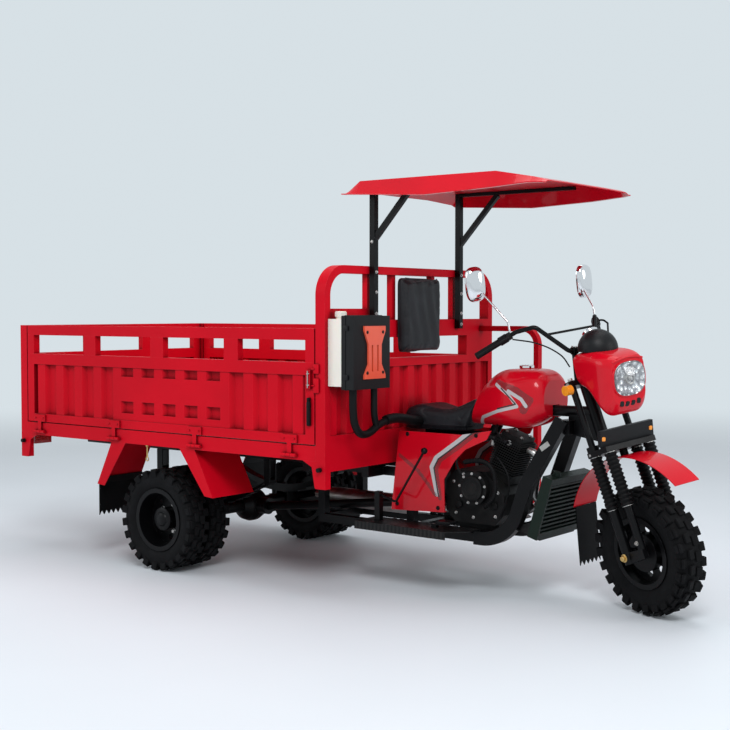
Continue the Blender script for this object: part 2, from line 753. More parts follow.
def steer():
    """The matrix that turns a point from steering straight to the parked angle."""
    found = joint("steering_turn")
    foot = Matrix.Translation(Vector(found["pos_m"]))
    turn = Matrix.Rotation(bpy.context.scene.tricycle_fork.parked, 4, Vector(found["axis"]).normalized())
    return foot @ turn @ foot.inverted()


def fork_point(side, ahead, along):
    """A point of the fork, steering straight, as the CAD gives it."""
    sizes = bpy.context.scene.tricycle_fork
    up = Vector((-math.sin(sizes.rake), 0, math.cos(sizes.rake)))
    forward = Vector((math.cos(sizes.rake), 0, math.sin(sizes.rake)))
    return Vector(sizes.axle) + forward * (ahead - sizes.offset) + Vector((0, side, 0)) + up * along


def fork_place():
    """The matrix from fork axes (ahead, side, up the steering axis) to the parked fork."""
    found = joint("steering_turn")
    up = Vector(found["axis"]).normalized()
    ahead = Vector((up.z, 0, -up.x))
    turn = Matrix((ahead, Vector((0, 1, 0)), up)).transposed().to_4x4()
    parked = Matrix.Rotation(bpy.context.scene.tricycle_fork.parked, 4, up)
    return Matrix.Translation(Vector(found["pos_m"])) @ parked @ turn


# Operators

# Name, place, size in metres and power in watts
studio_lamps = (("key_lamp", (4.5, -5.5, 6.5), 3.0, 360.0), ("fill_lamp", (-5.5, -6.0, 4.0), 4.5, 95.0),
                ("top_lamp", (0.0, 0.5, 6.5), 6.0, 200.0), ("front_lamp", (7.5, 1.5, 3.0), 3.0, 90.0))
lamp_target = (0, 0, 0.8)


class TRICYCLE_OT_stage(bpy.types.Operator):
    """Camera, pale floor, backdrop and soft lamps"""
    bl_idname = "tricycle.stage"
    bl_label = "Stage"

    def execute(self, context):
        sizes = context.scene.tricycle_stage
        self.camera(context, sizes)
        self.floor(context, sizes)
        self.world(context, sizes)
        for name, place, size, power in studio_lamps:
            self.lamp(context, name, place, size, power)
        context.scene.view_settings.view_transform = "Standard"
        return {"FINISHED"}

    def camera(self, context, sizes):
        data = bpy.data.cameras.new("photo_camera")
        data.lens = sizes.lens
        data.sensor_width = 36.0
        camera = bpy.data.objects.new("photo_camera", data)
        camera.location = sizes.eye
        camera.rotation_euler = Vector(sizes.gaze).to_track_quat("-Z", "Y").to_euler()
        data.clip_end = 300.0
        context.scene.collection.objects.link(camera)
        context.scene.camera = camera

    def floor(self, context, sizes):
        shape = bmesh.new()
        bmesh.ops.create_circle(shape, cap_ends=True, cap_tris=False, radius=sizes.floor_radius, segments=96)
        mesh = bpy.data.meshes.new("studio_floor")
        shape.to_mesh(mesh)
        shape.free()
        mesh.materials.append(self.floor_finish(sizes))
        floor = bpy.data.objects.new("studio_floor", mesh)
        context.scene.collection.objects.link(floor)

    def floor_finish(self, sizes):
        """A pale floor that fades into the backdrop far from the vehicle."""
        finish = Finish("studio_floor", sizes.floor_colour, 0.55)
        cloud = finish.noise(0.6, 3.0).eased(0.3, 0.7)
        pale = [c * 1.03 for c in sizes.floor_colour]
        finish.tint(cloud, sizes.floor_colour, pale)
        x, y = finish.axis(0), finish.axis(1)
        reach = (x * x + y * y).root()
        wall = finish.add("ShaderNodeEmission", {}, {"Color": tuple(sizes.wall_colour) + (1.0,)}, "Emission")
        lit = Level(finish, finish.shader.outputs["BSDF"])
        fade = reach.eased(sizes.fade_start, sizes.fade_end)
        blend = finish.add("ShaderNodeMixShader", {}, {0: fade, 1: lit, 2: wall}, "Shader")
        finish.tree.links.new(blend.socket, finish.tree.nodes["Material Output"].inputs["Surface"])
        return finish.material

    def world(self, context, sizes):
        """Plain light, with the backdrop's colour where a camera, mirror or glass ray leaves the scene."""
        world = bpy.data.worlds.new("studio_world")
        context.scene.world = world
        world.use_nodes = True
        tree = world.node_tree
        kinds = ("Background", "LightPath", "MixShader", "Math", "Math")
        shown, rays, choice, seen, mirrored = [tree.nodes.new("ShaderNode" + kind) for kind in kinds]
        seen.operation = mirrored.operation = "MAXIMUM"
        lighting = tree.nodes["Background"]
        lighting.inputs["Color"].default_value = (1, 1, 1, 1)
        lighting.inputs["Strength"].default_value = sizes.sky
        shown.inputs["Color"].default_value = tuple(sizes.wall_colour) + (1.0,)
        for source, target in ((rays.outputs["Is Glossy Ray"], mirrored.inputs[0]),
                               (rays.outputs["Is Transmission Ray"], mirrored.inputs[1]),
                               (rays.outputs["Is Camera Ray"], seen.inputs[0]),
                               (mirrored.outputs[0], seen.inputs[1]),
                               (seen.outputs[0], choice.inputs["Fac"]),
                               (lighting.outputs[0], choice.inputs[1]),
                               (shown.outputs[0], choice.inputs[2]),
                               (choice.outputs[0], tree.nodes["World Output"].inputs["Surface"])):
            tree.links.new(source, target)

    def lamp(self, context, name, place, size, power):
        data = bpy.data.lights.new(name, "AREA")
        data.shape = "DISK"
        data.size = size
        data.energy = power
        lamp = bpy.data.objects.new(name, data)
        lamp.location = place
        lamp.rotation_euler = (Vector(lamp_target) - Vector(place)).to_track_quat("-Z", "Y").to_euler()
        context.scene.collection.objects.link(lamp)


class TRICYCLE_OT_paint(bpy.types.Operator):
    """Finishes of the frame's own nodes"""
    bl_idname = "tricycle.paint"
    bl_label = "Paint the frame"

    def execute(self, context):
        for part in frame["record"]["subparts"]:
            dress(part["node"], finish_of(part["material_slot"]))
        for node, slot in special_finishes:
            dress(node, finish_of(slot))
        dress("fuel_tank", self.striped("tank_red", tank_strokes))
        for node in ("side_panel_right", "side_panel_left"):
            dress(node, self.striped(node + "_red", panel_strokes))
        return {"FINISHED"}

    def striped(self, name, strokes):
        colours = bpy.context.scene.tricycle_paint
        finish = red_paint(name, True)
        x, z = finish.axis(0), finish.axis(2)
        base = finish.shader.inputs["Base Color"].links[0].from_socket
        shade = Level(finish, base)
        hatch = ((x * 0.62 + z) * 820.0).sine() > -0.2
        for kind, points, half in strokes:
            mask = stroke(x, z, points, half)
            if kind == "hatch":
                mask = mask * hatch
            tint = colours.silver if kind == "silver" else colours.charcoal
            shade = finish.mix(mask, shade, tint)
        finish.set("Base Color", shade)
        return finish.material


# Nodes whose finish isn't their slot's own
special_finishes = (("radiator", "radiator_green"), ("footboards", "tread_plate"), ("headlamp_fairing", "gloss_red"),
                    ("front_fender", "gloss_red"), ("canopy_roof", "gloss_red"), ("hand_levers", "engine_black"))

# Kind, line in the side view and half width of each stripe
tank_strokes = (
    ("hatch", ((0.981, 1.066), (1.096, 1.034), (1.168, 0.992), (1.135, 0.942)), 0.020),
    ("silver", ((0.973, 1.062), (1.054, 1.012), (1.102, 0.958), (0.985, 0.930), (0.867, 0.891), (0.826, 0.847)), 0.008),
    ("charcoal", ((1.008, 1.045), (1.094, 0.970), (0.985, 0.942)), 0.0035),
    ("silver", ((1.051, 1.032), (1.125, 0.995), (1.150, 0.962)), 0.009),
)
panel_strokes = (
    ("silver", ((0.882, 0.835), (0.781, 0.763), (0.659, 0.679), (0.632, 0.631), (0.666, 0.496)), 0.013),
    ("hatch", ((0.918, 0.832), (0.811, 0.755), (0.686, 0.671), (0.659, 0.623), (0.684, 0.477)), 0.012),
    ("charcoal", ((0.900, 0.834), (0.796, 0.759), (0.673, 0.675), (0.646, 0.627), (0.675, 0.484)), 0.004),
    ("hatch", ((0.432, 0.678), (0.547, 0.604), (0.610, 0.542), (0.654, 0.490)), 0.010),
)


tyre_bead = 0.1727
rear_tyre_width = 0.135
front_tyre_radius = 0.3022
front_tyre_width = 0.148
front_tyre_crown = 0.018


class TRICYCLE_OT_tyres(bpy.types.Operator):
    """Knobbly tyres in place of the plain ones"""
    bl_idname = "tricycle.tyres"
    bl_label = "Tyres"

    def execute(self, context):
        sizes = context.scene.tricycle_tyres
        for side, name, word in ((-1, "rear_wheel_right", "right"), (1, "rear_wheel_left", "left")):
            node = "rear_tyres_" + word
            low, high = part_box(node)
            centre = Vector(joint(name + "_spin")["pos_m"])
            radius = (high.x - low.x) / 2 - 0.001
            near, far = sorted((abs(low.y), abs(high.y)))
            half = rear_tyre_width / 2
            for row, y in (("outer", far - half), ("inner", near + half)):
                shape = bmesh.new()
                knobbly_tyre(shape, radius, rear_tyre_width, tyre_bead, sizes.rear_blocks)
                bmesh.ops.translate(shape, verts=shape.verts, vec=(centre.x, side * y, centre.z))
                piece = add_piece("rear_tyre_%s_%s" % (word, row), shape, name, "tyre")
                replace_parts(piece, node)
        shape = bmesh.new()
        knobbly_tyre(shape, front_tyre_radius, front_tyre_width, tyre_bead, sizes.front_blocks, front_tyre_crown)
        bmesh.ops.transform(shape, verts=shape.verts, matrix=wheel_place("front_wheel_spin"))
        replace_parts(add_piece("front_tyre_blocks", shape, "front_wheel", "tyre"), "front_tyre")
        return {"FINISHED"}


hub_cap_profile = ((0.064, -0.012), (0.064, 0.001), (0.058, 0.005), (0.040, 0.006), (0.036, 0.012), (0.030, 0.016),
                   (0, 0.018))
valve_profile = ((0, 0), (0.004, 0), (0.004, 0.018), (0.006, 0.019), (0.006, 0.030), (0, 0.031))
hub_ring_profile = ((0.014, -0.004), (0.038, -0.004), (0.038, 0.0), (0.034, 0.003), (0.020, 0.004), (0.014, 0.004))


class TRICYCLE_OT_wheels(bpy.types.Operator):
    """Wheel nuts, hub caps and valves"""
    bl_idname = "tricycle.wheels"
    bl_label = "Wheel fittings"

    def execute(self, context):
        sizes = context.scene.tricycle_wheels
        for side, word in ((-1, "right"), (1, "left")):
            name = "rear_wheel_" + word
            centre = Vector(joint(name + "_spin")["pos_m"])
            nuts, cap = bmesh.new(), bmesh.new()
            for across, up in round_steps(sizes.nuts, sizes.rear_circle):
                place = (centre.x + across, side * sizes.rear_face, centre.z + up)
                hex_bolt(nuts, place, (0, side, 0), sizes.nut_radius)
            turned(cap, hub_cap_profile, facing((centre.x, side * sizes.rear_hub_end, centre.z), (0, side, 0)))
            foot = (centre.x + 0.120, side * sizes.rear_face, centre.z)
            turned(cap, valve_profile, facing(foot, (0.2, side, 0)), 12)
            add_piece("wheel_nuts_" + word, nuts, name, "bright_steel")
            add_piece("hub_cap_" + word, cap, name, "black_frame")
        place = wheel_place("front_wheel_spin")
        ring_shape = bmesh.new()
        for side in (-1, 1):
            turned(ring_shape, hub_ring_profile, place @ facing((0, side * 0.101, 0), (0, side, 0)))
        add_piece("front_hub_rings", ring_shape, "front_wheel", "black_frame")
        return {"FINISHED"}


class TRICYCLE_OT_fork(bpy.types.Operator):
    """Gaiter bands, clamp bolts and axle nuts"""
    bl_idname = "tricycle.fork"
    bl_label = "Fork fittings"

    def execute(self, context):
        sizes = context.scene.tricycle_fork
        place = fork_place()
        bands, bolts, nuts = bmesh.new(), bmesh.new(), bmesh.new()
        band = ((0.0245, -0.004), (0.0262, -0.004), (0.0262, 0.004), (0.0245, 0.004))
        leg, spring = sizes.offset, sizes.offset + sizes.spring_offset
        up = place.to_3x3() @ Vector((0, 0, 1))
        for side in (-1, 1):
            out = place.to_3x3() @ Vector((0, side, 0))
            for y, ahead in ((sizes.leg_y, leg), (sizes.spring_y, spring)):
                for along in (sizes.gaiter_low + 0.005, sizes.gaiter_high - 0.005):
                    turned(bands, band, place @ Matrix.Translation((ahead, side * y, along)), 32)
            for shape, point, axis, radius in ((nuts, (leg, side * 0.156, 0), out, 0.014),
                                               (bolts, (leg, side * 0.1542, 0.497), out, 0.007),
                                               (bolts, (leg, side * 0.1542, 0.846), out, 0.007),
                                               (bolts, (spring, side * 0.1425, 0.05), out, 0.008),
                                               (bolts, (leg, side * sizes.leg_y, 0.8592), up, 0.013)):
                hex_bolt(shape, place @ Vector(point), axis, radius)
        add_piece("gaiter_bands", bands, "steering", "bright_steel")
        add_piece("fork_bolts", bolts, "steering", "bright_steel")
        add_piece("axle_nuts", nuts, "steering", "bright_steel", finish="brass")
        return {"FINISHED"}


class TRICYCLE_OT_headlamp(bpy.types.Operator):
    """Reflector, bulb, glass and trim of the headlamp"""
    bl_idname = "tricycle.headlamp"
    bl_label = "Headlamp"

    def execute(self, context):
        sizes = context.scene.tricycle_lamp
        place = steer() @ facing(sizes.centre, (1, 0, 0))
        wide = place @ oval(place, sizes.half_width, sizes.half_height)
        squared = 2.7
        bowl = bmesh.new()
        turned(bowl, [(0, 0.002), (0.16, 0.002), (0.20, 0.006), (0.45, 0.0035), (0.75, 0.0045), (0.96, 0.0085),
                      (0.985, 0.0085), (0.985, 0.0005), (0, 0.0005)], wide, 48, squared)
        add_piece("lamp_reflector", bowl, "steering", "bright_steel", finish="reflector")
        bulb = bmesh.new()
        turned(bulb, [(0.012, 0.003), (0.012, 0.009), (0.010, 0.013), (0.006, 0.016), (0, 0.017)], place, 24)
        turned(bulb, [(0.030, 0.006), (0.030, 0.0105), (0.026, 0.012), (0.022, 0.0105), (0.022, 0.006)], place, 32)
        add_piece("lamp_bulb", bulb, "steering", "bright_steel")
        glass = bmesh.new()
        reach = (0, 0.15, 0.3, 0.45, 0.6, 0.72, 0.84, 0.93, 0.98)
        outer = [(r, sizes.edge + sizes.bulge * (1 - r * r)) for r in reach]
        inner = [(r * 0.985, h - 0.0022) for r, h in reversed(outer)]
        edge = [(1.0, sizes.edge), (1.0, 0.0005), (0.985, 0.0005)]
        turned(glass, outer + edge + inner, wide, 64, squared)
        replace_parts(add_piece("lamp_glass_cover", glass, "steering", "lamp_glass", angle=50.0), "headlamp_lens")
        trim = bmesh.new()
        rim = [(0.99, -0.026), (1.05, -0.026), (1.06, 0.000), (1.045, 0.006), (1.005, 0.0075), (0.99, 0.0)]
        turned(trim, rim, wide, 64, squared)
        add_piece("lamp_trim", trim, "steering", "red_paint", angle=50.0, finish="gloss_red")
        self.openings()
        return {"FINISHED"}

    def openings(self):
        """The brow over the lamp and the air slots under it, set on the fairing's skin."""
        tree = skin(frame["nodes"]["headlamp_fairing"])
        turn = steer()
        lamp = Vector(bpy.context.scene.tricycle_lamp.centre)
        back = turn.to_3x3() @ Vector((-1, 0, 0))
        slots, brow = bmesh.new(), []
        for y in (-0.052, -0.018, 0.018, 0.052):
            start = turn @ (lamp + Vector((0.5, y, -0.122 + abs(y) * 0.16)))
            slot = facing(*landing(tree, start, back)) @ Matrix.Diagonal((0.013, 0.013, 1, 1))
            turned(slots, [(0, 0.0012), (0.9, 0.0012), (1.0, 0.0), (1.0, -0.003)], slot, 32, 3.2)
        add_piece("fairing_slots", slots, "steering", "black_plastic")
        for step in range(13):
            y = -0.092 + 0.184 * step / 12
            start = turn @ (lamp + Vector((0.5, y, 0.100 - 2.0 * y * y)))
            hit, normal = landing(tree, start, back)
            brow.append(hit + normal * 0.001)
        tube("fairing_brow", brow, 0.0055, "steering", "red_paint", finish="gloss_red")


class TRICYCLE_OT_mirrors(bpy.types.Operator):
    """Chrome shells, glasses and rims of the mirrors"""
    bl_idname = "tricycle.mirrors"
    bl_label = "Mirrors"

    def execute(self, context):
        for side, rise, word in ((-1, 0.616, "right"), (1, 0.545, "left")):
            centre = fork_point(side * 0.336, -0.154, 0.846 + rise)
            turn = Matrix.Translation(centre) @ Matrix.Rotation(side * math.radians(8), 4, "Z")
            place = steer() @ turn @ facing((-0.0062, 0, 0), (-1, 0, 0))
            tall = place @ oval(place, 0.047, 0.077)
            glass, rim, shell = bmesh.new(), bmesh.new(), bmesh.new()
            turned(glass, [(0, 0.0012), (0.9, 0.0010), (0.96, 0.0)], tall, 48)
            turned(rim, [(0.93, 0.0), (0.94, 0.002), (1.06, 0.0025), (1.11, 0.0), (1.09, -0.004)], tall, 56, 3.0)
            turned(shell, [(1.10, -0.002), (1.12, 0.000), (1.10, -0.010), (1.02, -0.020), (0.80, -0.028),
                           (0.45, -0.032), (0, -0.033)], tall, 56, 3.0)
            add_piece("mirror_shell_" + word, shell, "steering", "chrome", angle=60.0)
            add_piece("mirror_glass_" + word, glass, "steering", "chrome")
            add_piece("mirror_rim_" + word, rim, "steering", "black_plastic")
        return {"FINISHED"}


side_hinges = (-1.8223, -1.1630, -0.5173, 0.1532)
tail_hinges = (-0.4787, 0.0, 0.4787)
hinge_bolt_ahead = 0.034
hinge_bolt_height = 0.792


class TRICYCLE_OT_box(bpy.types.Operator):
    """Bolts, latch grips and staples of the load box"""
    bl_idname = "tricycle.box"
    bl_label = "Box fittings"

    def execute(self, context):
        for side, body, word in ((-1, "gate_right", "right"), (1, "gate_left", "left")):
            bolts, grips, staples = bmesh.new(), bmesh.new(), bmesh.new()
            for x in side_hinges:
                for ahead in (-hinge_bolt_ahead, hinge_bolt_ahead):
                    hex_bolt(bolts, (x + ahead, side * 0.765, hinge_bolt_height), (0, side, 0), 0.0048)
            place = Matrix.Translation((0.2817, side * 0.755, 0)) @ Matrix.Diagonal((1, side, 1, 1))
            self.latch(grips, staples, place)
            add_piece("hinge_bolts_" + word, bolts, body, "red_paint")
            add_piece("latch_grip_" + word, grips, body, "rubber")
            add_piece("latch_staple_" + word, staples, body, "bright_steel")
            keepers = bmesh.new()
            for z, tall in ((1.142, 0.046), (1.060, 0.072)):
                rounded_block(keepers, (0.034, 0.010, tall), (0.328, side * 0.7595, z), 0.002)
                torus(keepers, 0.007, 0.0028, Matrix.Translation((0.312, side * 0.7655, z)), 20, 8)
            add_piece("latch_keepers_" + word, keepers, "vehicle", "red_paint")
        bolts, grips, staples = bmesh.new(), bmesh.new(), bmesh.new()
        for y in tail_hinges:
            for across in (-hinge_bolt_ahead, hinge_bolt_ahead):
                hex_bolt(bolts, (-2.0173, y + across, hinge_bolt_height), (-1, 0, 0), 0.0048)
        for y in (-0.675, 0.675):
            self.latch(grips, staples, Matrix.Translation((-2.0073, y, 0)) @ Matrix.Rotation(math.pi / 2, 4, "Z"))
        add_piece("hinge_bolts_rear", bolts, "gate_rear", "red_paint")
        add_piece("latch_grips_rear", grips, "gate_rear", "rubber")
        add_piece("latch_staples_rear", staples, "gate_rear", "bright_steel")
        self.posts()
        self.tie_hooks()
        return {"FINISHED"}

    def latch(self, grips, staples, place):
        """A rubber grip and, above it, a staple of bent rod."""
        old = set(grips.verts)
        rounded_block(grips, (0.021, 0.018, 0.122), (0, 0.0085, 0.921), 0.006, 3)
        rounded_block(grips, (0.016, 0.020, 0.020), (0, 0.008, 0.990), 0.005, 2)
        bmesh.ops.transform(grips, matrix=place, verts=added_since(grips, old))
        old = set(staples.verts)
        for z in (1.062, 1.118):
            torus(staples, 0.0075, 0.0022, Matrix.Translation((0, 0.0155, z)), 24, 8, 0.6)
        rounded_block(staples, (0.006, 0.006, 0.086), (0, 0.0165, 1.090), 0.002, 2)
        bmesh.ops.transform(staples, matrix=place, verts=added_since(staples, old))

    def posts(self):
        """Bolts that hold the canopy's posts to the headboard, and its braces."""
        bolts = bmesh.new()
        for side in (-1, 1):
            for z in (1.352, 1.412, 1.520, 1.622):
                hex_bolt(bolts, (0.4113, side * 0.386, z), (1, 0, 0), 0.0065)
            for x, z in ((0.395, 1.775), (0.640, 2.040)):
                hex_bolt(bolts, (x, side * 0.4022, z), (0, side, 0), 0.006)
        add_piece("post_bolts", bolts, "vehicle", "bright_steel")

    def tie_hooks(self):
        """Pale hooks that hang from the box's floor above the rear wheels."""
        shape = bmesh.new()
        for side in (-1, 1):
            place = Vector((-0.955, side * 0.700, 0.640))
            eye = Matrix.Translation(place - Vector((0, 0, 0.038))) @ Matrix.Rotation(math.pi / 2, 4, "X")
            rounded_block(shape, (0.010, 0.004, 0.060), place, 0.0015)
            torus(shape, 0.010, 0.003, eye, 24, 8)
            turned(shape, [(0.009, 0), (0.009, 0.010), (0, 0.010)],
                   facing(place + Vector((0, 0, 0.032)), (0, 0, 1)), 16)
        add_piece("tie_hooks", shape, "vehicle", "bright_steel", finish="brass")


cover_centre = (0.8547, 0.535)
case_face = 0.1402
case_bolts = ((0.735, 0.40), (0.72, 0.56), (0.97, 0.40), (0.985, 0.52), (0.84, 0.385), (0.78, 0.600))
breather_route = ((0.820, -0.196, 0.668), (0.900, -0.200, 0.690), (0.990, -0.200, 0.665), (1.012, -0.198, 0.560),
                  (0.985, -0.190, 0.490), (0.930, -0.178, 0.450))
engine_pipes = (
    ("plug_lead", 0.0045, ((0.998, -0.105, 0.775), (0.985, -0.128, 0.800), (0.950, -0.110, 0.835),
                           (0.930, -0.050, 0.860))),
    ("oil_pipe", 0.006, ((0.800, -0.196, 0.610), (0.770, -0.205, 0.660), (0.790, -0.190, 0.730),
                         (0.830, -0.120, 0.780))),
    ("drain_pipe", 0.005, ((0.985, -0.150, 0.700), (1.050, -0.150, 0.640), (1.060, -0.148, 0.520),
                           (1.000, -0.150, 0.400))),
)


class TRICYCLE_OT_engine(bpy.types.Operator):
    """Cover rings, bolts, plug lead and carburettor"""
    bl_idname = "tricycle.engine"
    bl_label = "Engine fittings"

    def execute(self, context):
        bolts, rings = bmesh.new(), bmesh.new()
        x, z = cover_centre
        for side in (-1, 1):
            out = (0, side, 0)
            for across, up in round_steps(9, 0.0755, 0.3):
                hex_bolt(bolts, (x + across, side * 0.1762, z + up), out, 0.0052)
            face = facing((x, side * 0.1882, z), out)
            turned(rings, [(0.063, -0.004), (0.063, 0.0), (0.058, 0.003), (0.052, 0.003), (0.050, 0.001),
                           (0.034, 0.001), (0.032, 0.003), (0.012, 0.004), (0, 0.004)], face, 48)
            for ahead, height in case_bolts:
                hex_bolt(bolts, (ahead, side * case_face, height), out, 0.0062)
            for ahead, height in ((0.965, 0.455), (0.755, 0.445)):
                turned(rings, [(0.020, 0), (0.020, 0.008), (0.016, 0.012), (0.007, 0.013), (0, 0.013)],
                       facing((ahead, side * case_face, height), out), 28)
        add_piece("engine_bolts", bolts, "vehicle", "bright_steel")
        add_piece("engine_covers", rings, "vehicle", "engine_black")
        self.head()
        ribbed("breather_hose", breather_route, 0.013, "vehicle", "rubber")
        for name, radius, points in engine_pipes:
            tube(name, points, radius, "vehicle", "rubber")
        return {"FINISHED"}

    def head(self):
        """Plug, lead, head nuts and carburettor, in the leaning cylinder's own place."""
        lean = Matrix.Translation((0.9357, 0, 0.570)) @ Matrix.Rotation(math.radians(19.5), 4, "Y")
        bright, dark = bmesh.new(), bmesh.new()
        tilt = lean.to_3x3()
        for x in (-0.045, 0.045):
            for y in (-0.045, 0.045):
                hex_bolt(bright, lean @ Vector((x, y, 0.2502)), tilt @ Vector((0, 0, 1)), 0.007)
        for side in (-1, 1):
            hex_bolt(bright, lean @ Vector((0, side * 0.0702, 0.208)), (0, side, 0), 0.010)
            turned(dark, [(0.007, 0), (0.007, 0.012), (0.009, 0.014), (0.009, 0.040), (0.005, 0.043), (0, 0.043)],
                   facing(lean @ Vector((0, side * 0.078, 0.208)), tilt @ Vector((0, side, 0.35))), 20)
        throat = facing(lean @ Vector((-0.060, -0.030, 0.190)), tilt @ Vector((-1, 0, -0.15)))
        turned(dark, [(0.020, 0), (0.020, 0.030), (0.026, 0.032), (0.026, 0.040), (0.019, 0.044), (0.019, 0.078),
                      (0.024, 0.080), (0.024, 0.086), (0, 0.086)], throat, 32)
        bowl = facing(lean @ Vector((-0.112, -0.030, 0.172)), (0, 0, -1))
        turned(bright, [(0.017, -0.01), (0.019, 0.0), (0.019, 0.020), (0.014, 0.028), (0.006, 0.030), (0, 0.030)],
               bowl, 28)
        add_piece("head_nuts_and_float_bowl", bright, "vehicle", "bright_steel")
        add_piece("plug_caps_and_throat", dark, "vehicle", "black_plastic")


intake_hoses = (
    ("intake_branch", 0.017, ((0.4993, -0.520, 1.050), (0.4993, -0.520, 0.960), (0.497, -0.516, 0.900),
                              (0.491, -0.490, 0.852))),
    ("intake_boot", 0.026, ((0.4893, -0.412, 0.8757), (0.490, -0.360, 0.884), (0.496, -0.290, 0.880),
                            (0.500, -0.200, 0.862), (0.505, -0.100, 0.850))),
)


class TRICYCLE_OT_trim(bpy.types.Operator):
    """Caps, grommets, intake hoses, bare plates, handlebar bolts and dial"""
    bl_idname = "tricycle.trim"
    bl_label = "Small trim"

    def execute(self, context):
        self.caps()
        for name, radius, points in intake_hoses:
            tube(name, points, radius, "vehicle", "rubber")
        self.plates()
        self.shield()
        self.bar()
        self.dial()
        return {"FINISHED"}

    def caps(self):
        """The fuel cap, the side panels' grommets and the coolant tank's knurled cap."""
        cap, grommets, top = bmesh.new(), bmesh.new(), bmesh.new()
        turned(cap, [(0.0345, -0.010), (0.0365, -0.008), (0.0365, 0.002), (0.034, 0.005), (0.024, 0.0065),
                     (0.022, 0.0055), (0.010, 0.0055), (0.009, 0.0075), (0, 0.0075)],
               facing((1.0627, 0, 1.150), (0, 0, 1)), 40)
        add_piece("fuel_cap", cap, "vehicle", "chrome")
        for side in (-1, 1):
            for x, z in ((0.480, 0.791), (0.900, 0.808), (0.672, 0.425), (0.415, 0.425)):
                turned(grommets, [(0.011, 0), (0.011, 0.002), (0.008, 0.004), (0.005, 0.0025), (0, 0.0025)],
                       facing((x, side * 0.2112, z), (0, side, 0)), 24)
        add_piece("panel_grommets", grommets, "vehicle", "rubber")
        low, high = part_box("coolant_tank")
        centre = Vector(((low.x + high.x) / 2, low.y + 0.048, high.z))
        turned(top, [(0.027, -0.024), (0.027, 0.001), (0.024, 0.004), (0, 0.004)], facing(centre, (0, 0, 1)), 24)
        for ahead, across in round_steps(16, 0.027):
            rounded_block(top, (0.004, 0.004, 0.022), centre + Vector((ahead, across, -0.011)), 0.0015, 1)
        add_piece("coolant_cap", top, "vehicle", "white_plastic")

    def plates(self):
        """Two bare plates, on the right side panel and on the front down beam."""
        plates = bmesh.new()
        rounded_block(plates, (0.052, 0.0015, 0.026), (0.457, -0.2065, 0.462), 0.0006, 1)
        old = set(plates.verts)
        rounded_block(plates, (0.026, 0.052, 0.0012), (0, 0, 0), 0.0005, 1)
        place = facing((1.244, -0.1334, 0.7705), (0.112, -0.98, 0.163)) @ Matrix.Rotation(math.radians(-52), 4, "Z")
        bmesh.ops.transform(plates, matrix=place, verts=added_since(plates, old))
        add_piece("blank_plates", plates, "vehicle", "bright_steel")

    def shield(self):
        """The slotted panel's screws, and the air box's seam and clips."""
        low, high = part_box("slotted_panel")
        screws, ribs = bmesh.new(), bmesh.new()
        for y in (low.y + 0.022, high.y - 0.022):
            for z in (low.z + 0.030, high.z - 0.030):
                turned(screws, [(0.008, 0), (0.008, 0.002), (0.006, 0.0035), (0, 0.0035)],
                       facing((high.x, y, z), (1, 0, 0)), 20)
        add_piece("shield_screws", screws, "vehicle", "black_plastic")
        low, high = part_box("air_filter_box")
        size = high - low
        middle = (high + low) / 2
        rounded_block(ribs, (0.006, size.y + 0.006, size.z + 0.006), (low.x + 0.024, middle.y, middle.z), 0.002, 2)
        for z in (low.z + 0.06, high.z - 0.06):
            for y in (low.y - 0.003, high.y + 0.003):
                rounded_block(ribs, (0.030, 0.008, 0.024), (low.x + 0.030, y, z), 0.002, 2)
        add_piece("air_box_seam_and_clips", ribs, "vehicle", "black_plastic")

    def dial(self):
        """The instrument's glass and rim on the dome's rear, and reflectors at the bare plate's ends."""
        turn = steer().to_3x3()
        rim, glass, lamps = bmesh.new(), bmesh.new(), bmesh.new()
        low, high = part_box("instrument_dome")
        aim = turn @ Vector((1, 0, -0.75)).normalized()
        place = facing(*landing(skin(frame["nodes"]["instrument_dome"]), (low + high) / 2 - aim * 0.5, aim))
        turned(rim, [(0.034, -0.010), (0.039, -0.010), (0.039, 0.002), (0.036, 0.005), (0.033, 0.002),
                     (0.033, -0.002)], place, 40)
        turned(glass, [(0, 0.0025), (0.020, 0.002), (0.0335, 0.0)], place, 40)
        add_piece("dial_rim", rim, "steering", "chrome")
        add_piece("dial_glass", glass, "steering", "black_plastic", finish="dial_glass")
        plate = skin(frame["nodes"]["name_plate"])
        low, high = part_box("name_plate")
        for side in (-1, 1):
            start = (low + high) / 2 + turn @ Vector((0.4, side * 0.148, 0.0))
            spot = facing(*landing(plate, start, turn @ Vector((-1, 0, 0)))) @ Matrix.Diagonal((0.010, 0.010, 1, 1))
            turned(lamps, [(0.0, 0.004), (0.8, 0.004), (1.0, 0.002), (1.0, -0.003)], spot, 32, 4.0)
        add_piece("plate_reflectors", lamps, "steering", "amber_plastic")

    def bar(self):
        """Bolts of the handlebar's clamp."""
        bolts = bmesh.new()
        turn = steer()
        foot = fork_point(0, 0.218 * 0.2375, 0.846 + 0.485 * 0.327)
        for y in (-0.046, 0.046):
            for ahead in (-0.012, 0.012):
                place = turn @ (foot + Vector((ahead, y, 0.017)))
                hex_bolt(bolts, place, turn.to_3x3() @ Vector((0, 0, 1)), 0.005)
        add_piece("bar_bolts", bolts, "steering", "bright_steel")


cloth_pressure = 4.0
cloth_steps = 20


